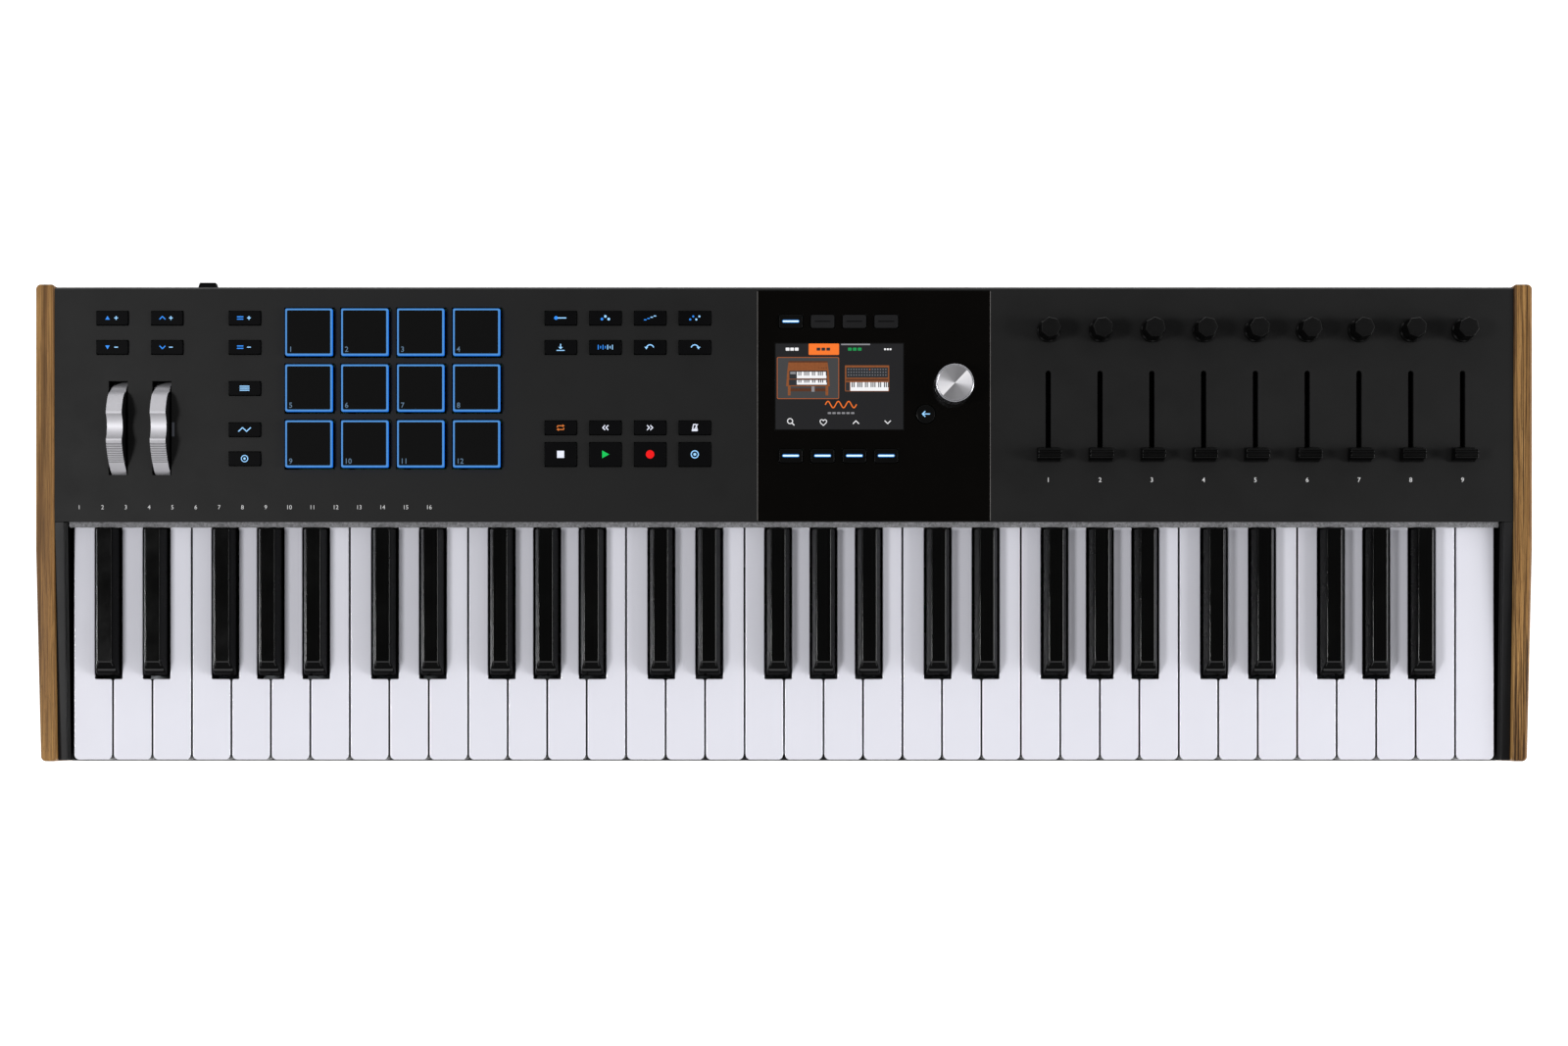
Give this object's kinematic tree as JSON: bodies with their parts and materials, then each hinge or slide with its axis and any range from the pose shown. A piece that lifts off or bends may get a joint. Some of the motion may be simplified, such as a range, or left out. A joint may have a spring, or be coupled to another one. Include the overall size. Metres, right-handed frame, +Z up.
{
  "type": "synthesizer",
  "caption": "Long flat keyboard controller with sprung piano keys, square pads, encoder knobs, faders, two wheels, a central display and wooden end cheeks.",
  "frame": {"origin": "centre of the footprint, on the surface the feet rest on", "axes": "+X along the keys towards the high notes, +Y from the player to the rear edge, +Z up"},
  "size_m": [0.886, 0.2846, 0.0765],
  "materials": {
    "pan_metal": "matt black powder coat",
    "panel": "satin dark grey",
    "block_plastic": "satin near-black, moulded",
    "gloss_black": "polished black",
    "display": "display glass with a lit picture",
    "cheek_wood": "oiled light brown wood",
    "chassis_steel": "zinc plated",
    "rod_steel": "ground",
    "felt": "grey felt",
    "board": "green solder mask",
    "track_metal": "dark plated",
    "encoder_metal": "satin",
    "bracket_plastic": "moulded",
    "socket_plastic": "moulded",
    "foot_rubber": "matt",
    "screw_steel": "plated",
    "white_keys": "semi gloss white",
    "black_keys": "satin black",
    "cap_plastic": "fine satin black",
    "knob_plastic": "soft touch black",
    "wheel_silver": "satin silver grey",
    "dial_metal": "spun aluminium",
    "pad_rubber": "matt black with a lit blue rim",
    "button_plastic": "satin black with lit symbols"
  },
  "bodies": {
    "case": {"bottom_pan": "pan_metal", "case_walls": "pan_metal", "top_panel": "panel", "glass_panel": "gloss_black", "display_module": "display", "side_cheek_left": "cheek_wood", "side_cheek_right": "cheek_wood", "end_blocks": "block_plastic", "keybed_chassis": "chassis_steel", "key_pivot_rod": "rod_steel", "felt_strips": "felt", "circuit_boards": "board", "fader_tracks": "track_metal", "encoder_bodies": "encoder_metal", "wheel_bracket": "bracket_plastic", "rear_sockets": "socket_plastic", "rubber_feet": "foot_rubber", "case_screws": "screw_steel"},
    "key_c_keys": {"key_c": "white_keys"},
    "key_c_sharp_keys": {"key_c_sharp": "black_keys"},
    "key_d_keys": {"key_d": "white_keys"},
    "key_d_sharp_keys": {"key_d_sharp": "black_keys"},
    "key_e_keys": {"key_e": "white_keys"},
    "key_f_keys": {"key_f": "white_keys"},
    "key_f_sharp_keys": {"key_f_sharp": "black_keys"},
    "key_g_keys": {"key_g": "white_keys"},
    "key_g_sharp_keys": {"key_g_sharp": "black_keys"},
    "key_a_keys": {"key_a": "white_keys"},
    "key_a_sharp_keys": {"key_a_sharp": "black_keys"},
    "key_b_keys": {"key_b": "white_keys"},
    "fader_cap_1_slider": {"fader_cap_1": "cap_plastic"},
    "fader_cap_2_slider": {"fader_cap_2": "cap_plastic"},
    "fader_cap_3_slider": {"fader_cap_3": "cap_plastic"},
    "fader_cap_4_slider": {"fader_cap_4": "cap_plastic"},
    "fader_cap_5_slider": {"fader_cap_5": "cap_plastic"},
    "fader_cap_6_slider": {"fader_cap_6": "cap_plastic"},
    "fader_cap_7_slider": {"fader_cap_7": "cap_plastic"},
    "fader_cap_8_slider": {"fader_cap_8": "cap_plastic"},
    "fader_cap_9_slider": {"fader_cap_9": "cap_plastic"},
    "encoder_knob_1_turner": {"encoder_knob_1": "knob_plastic"},
    "encoder_knob_2_turner": {"encoder_knob_2": "knob_plastic"},
    "encoder_knob_3_turner": {"encoder_knob_3": "knob_plastic"},
    "encoder_knob_4_turner": {"encoder_knob_4": "knob_plastic"},
    "encoder_knob_5_turner": {"encoder_knob_5": "knob_plastic"},
    "encoder_knob_6_turner": {"encoder_knob_6": "knob_plastic"},
    "encoder_knob_7_turner": {"encoder_knob_7": "knob_plastic"},
    "encoder_knob_8_turner": {"encoder_knob_8": "knob_plastic"},
    "encoder_knob_9_turner": {"encoder_knob_9": "knob_plastic"},
    "pitch_wheel_body": {"pitch_wheel": "wheel_silver"},
    "mod_wheel_body": {"mod_wheel": "wheel_silver"},
    "main_encoder_plunger": {"main_encoder_shaft": "rod_steel"},
    "main_encoder_dial": {"main_encoder_knob": "dial_metal"},
    "pads_row_1_pads": {"pads_row_1": "pad_rubber"},
    "pads_row_2_pads": {"pads_row_2": "pad_rubber"},
    "pads_row_3_pads": {"pads_row_3": "pad_rubber"},
    "left_buttons_group": {"left_buttons": "button_plastic"},
    "edit_buttons_group": {"edit_buttons": "button_plastic"},
    "transport_buttons_group": {"transport_buttons": "button_plastic"},
    "screen_buttons_group": {"screen_buttons": "button_plastic"},
    "power_button_plunger": {"power_button": "button_plastic"}
  },
  "joints": [
    {"name": "press_key_c", "type": "hinge", "parent": "case", "child": "key_c_keys", "pos_m": [0, 0.072, 0.0185], "axis": [1, 0, 0], "range_deg": [0, 2.6], "stiffness_Nm_per_rad": 12, "springref_deg": -3.44},
    {"name": "press_key_c_sharp", "type": "hinge", "parent": "case", "child": "key_c_sharp_keys", "pos_m": [0, 0.072, 0.0185], "axis": [1, 0, 0], "range_deg": [0, 2.6], "stiffness_Nm_per_rad": 12, "springref_deg": -3.44},
    {"name": "press_key_d", "type": "hinge", "parent": "case", "child": "key_d_keys", "pos_m": [0, 0.072, 0.0185], "axis": [1, 0, 0], "range_deg": [0, 2.6], "stiffness_Nm_per_rad": 12, "springref_deg": -3.44},
    {"name": "press_key_d_sharp", "type": "hinge", "parent": "case", "child": "key_d_sharp_keys", "pos_m": [0, 0.072, 0.0185], "axis": [1, 0, 0], "range_deg": [0, 2.6], "stiffness_Nm_per_rad": 12, "springref_deg": -3.44},
    {"name": "press_key_e", "type": "hinge", "parent": "case", "child": "key_e_keys", "pos_m": [0, 0.072, 0.0185], "axis": [1, 0, 0], "range_deg": [0, 2.6], "stiffness_Nm_per_rad": 12, "springref_deg": -3.44},
    {"name": "press_key_f", "type": "hinge", "parent": "case", "child": "key_f_keys", "pos_m": [0, 0.072, 0.0185], "axis": [1, 0, 0], "range_deg": [0, 2.6], "stiffness_Nm_per_rad": 12, "springref_deg": -3.44},
    {"name": "press_key_f_sharp", "type": "hinge", "parent": "case", "child": "key_f_sharp_keys", "pos_m": [0, 0.072, 0.0185], "axis": [1, 0, 0], "range_deg": [0, 2.6], "stiffness_Nm_per_rad": 12, "springref_deg": -3.44},
    {"name": "press_key_g", "type": "hinge", "parent": "case", "child": "key_g_keys", "pos_m": [0, 0.072, 0.0185], "axis": [1, 0, 0], "range_deg": [0, 2.6], "stiffness_Nm_per_rad": 12, "springref_deg": -3.44},
    {"name": "press_key_g_sharp", "type": "hinge", "parent": "case", "child": "key_g_sharp_keys", "pos_m": [0, 0.072, 0.0185], "axis": [1, 0, 0], "range_deg": [0, 2.6], "stiffness_Nm_per_rad": 12, "springref_deg": -3.44},
    {"name": "press_key_a", "type": "hinge", "parent": "case", "child": "key_a_keys", "pos_m": [0, 0.072, 0.0185], "axis": [1, 0, 0], "range_deg": [0, 2.6], "stiffness_Nm_per_rad": 12, "springref_deg": -3.44},
    {"name": "press_key_a_sharp", "type": "hinge", "parent": "case", "child": "key_a_sharp_keys", "pos_m": [0, 0.072, 0.0185], "axis": [1, 0, 0], "range_deg": [0, 2.6], "stiffness_Nm_per_rad": 12, "springref_deg": -3.44},
    {"name": "press_key_b", "type": "hinge", "parent": "case", "child": "key_b_keys", "pos_m": [0, 0.072, 0.0185], "axis": [1, 0, 0], "range_deg": [0, 2.6], "stiffness_Nm_per_rad": 12, "springref_deg": -3.44},
    {"name": "slide_fader_1", "type": "slide", "parent": "case", "child": "fader_cap_1_slider", "axis": [0, 1, 0], "range_m": [0, 0.045]},
    {"name": "slide_fader_2", "type": "slide", "parent": "case", "child": "fader_cap_2_slider", "axis": [0, 1, 0], "range_m": [0, 0.045]},
    {"name": "slide_fader_3", "type": "slide", "parent": "case", "child": "fader_cap_3_slider", "axis": [0, 1, 0], "range_m": [0, 0.045]},
    {"name": "slide_fader_4", "type": "slide", "parent": "case", "child": "fader_cap_4_slider", "axis": [0, 1, 0], "range_m": [0, 0.045]},
    {"name": "slide_fader_5", "type": "slide", "parent": "case", "child": "fader_cap_5_slider", "axis": [0, 1, 0], "range_m": [0, 0.045]},
    {"name": "slide_fader_6", "type": "slide", "parent": "case", "child": "fader_cap_6_slider", "axis": [0, 1, 0], "range_m": [0, 0.045]},
    {"name": "slide_fader_7", "type": "slide", "parent": "case", "child": "fader_cap_7_slider", "axis": [0, 1, 0], "range_m": [0, 0.045]},
    {"name": "slide_fader_8", "type": "slide", "parent": "case", "child": "fader_cap_8_slider", "axis": [0, 1, 0], "range_m": [0, 0.045]},
    {"name": "slide_fader_9", "type": "slide", "parent": "case", "child": "fader_cap_9_slider", "axis": [0, 1, 0], "range_m": [0, 0.045]},
    {"name": "turn_encoder_1", "type": "hinge", "parent": "case", "child": "encoder_knob_1_turner", "pos_m": [0.1565, 0.1129, 0.066], "axis": [0, 0, 1], "continuous": true},
    {"name": "turn_encoder_2", "type": "hinge", "parent": "case", "child": "encoder_knob_2_turner", "pos_m": [0.18717, 0.1129, 0.066], "axis": [0, 0, 1], "continuous": true},
    {"name": "turn_encoder_3", "type": "hinge", "parent": "case", "child": "encoder_knob_3_turner", "pos_m": [0.21784, 0.1129, 0.066], "axis": [0, 0, 1], "continuous": true},
    {"name": "turn_encoder_4", "type": "hinge", "parent": "case", "child": "encoder_knob_4_turner", "pos_m": [0.24851, 0.1129, 0.066], "axis": [0, 0, 1], "continuous": true},
    {"name": "turn_encoder_5", "type": "hinge", "parent": "case", "child": "encoder_knob_5_turner", "pos_m": [0.27918, 0.1129, 0.066], "axis": [0, 0, 1], "continuous": true},
    {"name": "turn_encoder_6", "type": "hinge", "parent": "case", "child": "encoder_knob_6_turner", "pos_m": [0.30985, 0.1129, 0.066], "axis": [0, 0, 1], "continuous": true},
    {"name": "turn_encoder_7", "type": "hinge", "parent": "case", "child": "encoder_knob_7_turner", "pos_m": [0.34052, 0.1129, 0.066], "axis": [0, 0, 1], "continuous": true},
    {"name": "turn_encoder_8", "type": "hinge", "parent": "case", "child": "encoder_knob_8_turner", "pos_m": [0.37119, 0.1129, 0.066], "axis": [0, 0, 1], "continuous": true},
    {"name": "turn_encoder_9", "type": "hinge", "parent": "case", "child": "encoder_knob_9_turner", "pos_m": [0.40186, 0.1129, 0.066], "axis": [0, 0, 1], "continuous": true},
    {"name": "turn_pitch_wheel", "type": "hinge", "parent": "case", "child": "pitch_wheel_body", "pos_m": [-0.3943, 0.0554, 0.0405], "axis": [1, 0, 0], "range_deg": [-28, 28], "stiffness_Nm_per_rad": 0.12},
    {"name": "turn_mod_wheel", "type": "hinge", "parent": "case", "child": "mod_wheel_body", "pos_m": [-0.3685, 0.0554, 0.0405], "axis": [1, 0, 0], "range_deg": [-28, 28]},
    {"name": "press_main_encoder", "type": "slide", "parent": "case", "child": "main_encoder_plunger", "axis": [0, 0, -1], "range_m": [0, 0.0006], "stiffness_N_per_m": 3000, "springref_m": -0.0008},
    {"name": "turn_main_encoder", "type": "hinge", "parent": "main_encoder_plunger", "child": "main_encoder_dial", "pos_m": [0.1004, 0.0805, 0.067], "axis": [0, 0, 1], "continuous": true},
    {"name": "press_pads_row_1", "type": "slide", "parent": "case", "child": "pads_row_1_pads", "axis": [0, 0, -1], "range_m": [0, 0.0008], "stiffness_N_per_m": 6000, "springref_m": -0.0006},
    {"name": "press_pads_row_2", "type": "slide", "parent": "case", "child": "pads_row_2_pads", "axis": [0, 0, -1], "range_m": [0, 0.0008], "stiffness_N_per_m": 6000, "springref_m": -0.0006},
    {"name": "press_pads_row_3", "type": "slide", "parent": "case", "child": "pads_row_3_pads", "axis": [0, 0, -1], "range_m": [0, 0.0008], "stiffness_N_per_m": 6000, "springref_m": -0.0006},
    {"name": "press_left_buttons", "type": "slide", "parent": "case", "child": "left_buttons_group", "axis": [0, 0, -1], "range_m": [0, 0.0008], "stiffness_N_per_m": 3000, "springref_m": -0.0008},
    {"name": "press_edit_buttons", "type": "slide", "parent": "case", "child": "edit_buttons_group", "axis": [0, 0, -1], "range_m": [0, 0.0008], "stiffness_N_per_m": 3000, "springref_m": -0.0008},
    {"name": "press_transport_buttons", "type": "slide", "parent": "case", "child": "transport_buttons_group", "axis": [0, 0, -1], "range_m": [0, 0.0008], "stiffness_N_per_m": 3000, "springref_m": -0.0008},
    {"name": "press_screen_buttons", "type": "slide", "parent": "case", "child": "screen_buttons_group", "axis": [0, 0, -1], "range_m": [0, 0.0008], "stiffness_N_per_m": 3000, "springref_m": -0.0008},
    {"name": "press_power_button", "type": "slide", "parent": "case", "child": "power_button_plunger", "axis": [0, -1, 0], "range_m": [0, 0.0015], "stiffness_N_per_m": 1500, "springref_m": -0.0006}
  ]
}
